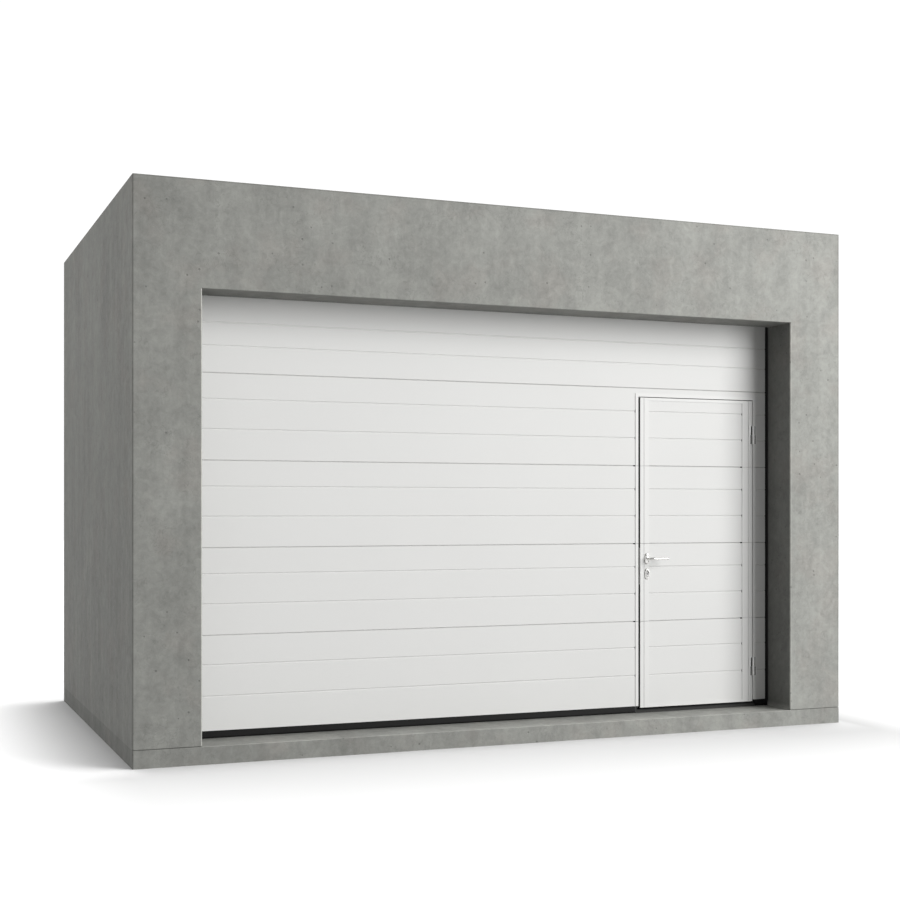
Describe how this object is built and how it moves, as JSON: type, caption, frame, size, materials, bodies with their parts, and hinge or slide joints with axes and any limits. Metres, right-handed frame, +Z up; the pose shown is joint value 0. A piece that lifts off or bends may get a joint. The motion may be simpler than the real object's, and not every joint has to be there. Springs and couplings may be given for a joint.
{
  "type": "sectional garage door with wicket door",
  "caption": "White ribbed sectional garage door with an inset wicket door, lever handle and exposed hinges, recessed in a plain concrete portal garage.",
  "frame": {"origin": "middle of the rectangular footprint, on the ground", "axes": "+X runs right along the front as seen from outside, +Y into the building, +Z up"},
  "size_m": [4.62, 3.015, 3.225],
  "materials": {
    "concrete": "matte",
    "door_panel": "satin",
    "door_profile": "satin",
    "seal": "matte",
    "threshold_metal": "satin",
    "galvanised": "satin",
    "spring_steel": "satin",
    "polished_fitting": "polished",
    "hinge_metal": "satin"
  },
  "bodies": {
    "root": {"floor_slab": "concrete", "left_post": "concrete", "right_post": "concrete", "lintel": "concrete", "left_wall": "concrete", "right_wall": "concrete", "back_wall": "concrete", "roof_slab": "concrete", "top_section": "door_panel", "head_section": "door_panel", "left_section_1": "door_panel", "left_section_2": "door_panel", "left_section_3": "door_panel", "left_section_4": "door_panel", "right_section_1": "door_panel", "right_section_2": "door_panel", "right_section_3": "door_panel", "right_section_4": "door_panel", "wicket_lock_jamb": "door_profile", "wicket_hinge_jamb": "door_profile", "wicket_head": "door_profile", "stop_gaskets": "seal", "threshold": "threshold_metal", "bottom_seals": "seal", "side_seals": "seal", "top_seal": "seal", "side_frames": "galvanised", "upright_tracks": "galvanised", "curved_tracks": "galvanised", "level_tracks": "galvanised", "track_hangers": "galvanised", "rollers": "galvanised", "end_brackets": "galvanised", "section_hinges": "galvanised", "spring_shaft": "galvanised", "shaft_bearings": "galvanised", "torsion_springs": "spring_steel", "cable_drums": "galvanised", "lift_cables": "galvanised", "frame_hinge_halves": "hinge_metal"},
    "leaf": {"leaf_section_1": "door_panel", "leaf_section_2": "door_panel", "leaf_section_3": "door_panel", "leaf_section_4": "door_panel", "leaf_lock_stile": "door_profile", "leaf_hinge_stile": "door_profile", "leaf_rails": "door_profile", "leaf_edge_seal": "seal", "leaf_bottom_seal": "seal", "lock_faceplate": "galvanised", "leaf_hinge_halves": "hinge_metal", "leaf_links": "galvanised", "lever_roses": "polished_fitting", "lock_roses": "polished_fitting", "lock_cylinder": "polished_fitting"},
    "lever": {"lever_handle": "polished_fitting"}
  },
  "joints": [
    {"name": "wicket_hinge", "type": "hinge", "parent": "root", "child": "leaf", "pos_m": [1.8155, -1.2525, 1.1], "axis": [0, 0, 1], "range_deg": [0, 105]},
    {"name": "lever_turn", "type": "hinge", "parent": "leaf", "child": "lever", "pos_m": [1.013, -1.2205, 1.091], "axis": [0, 1, 0], "range_deg": [0, 40], "stiffness_Nm_per_rad": 1.2, "springref_deg": -28.65}
  ]
}
